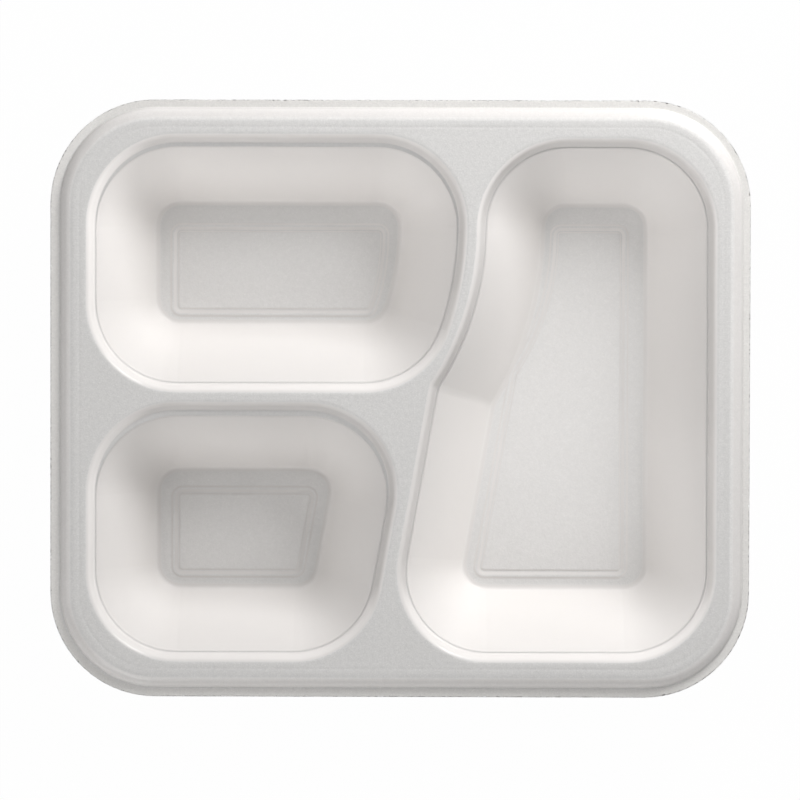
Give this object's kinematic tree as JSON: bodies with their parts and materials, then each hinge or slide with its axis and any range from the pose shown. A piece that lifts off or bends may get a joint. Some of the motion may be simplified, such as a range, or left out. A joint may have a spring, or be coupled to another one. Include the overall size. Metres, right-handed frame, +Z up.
{
  "type": "sealable meal tray",
  "caption": "White foam meal tray with separate drafted wells, a flat sealing flange and a stepped outer lip.",
  "frame": {"origin": "centre of the tray's outline, on the plane that it stands on", "axes": "+X along the length towards the main well, +Y towards the back edge with the garnish well at the left, +Z up out of the wells"},
  "size_m": [0.24, 0.205, 0.04],
  "materials": {
    "foam": "fine-grained white foam under a thin satin film"
  },
  "bodies": {
    "root": {"tray": "foam"}
  },
  "joints": []
}
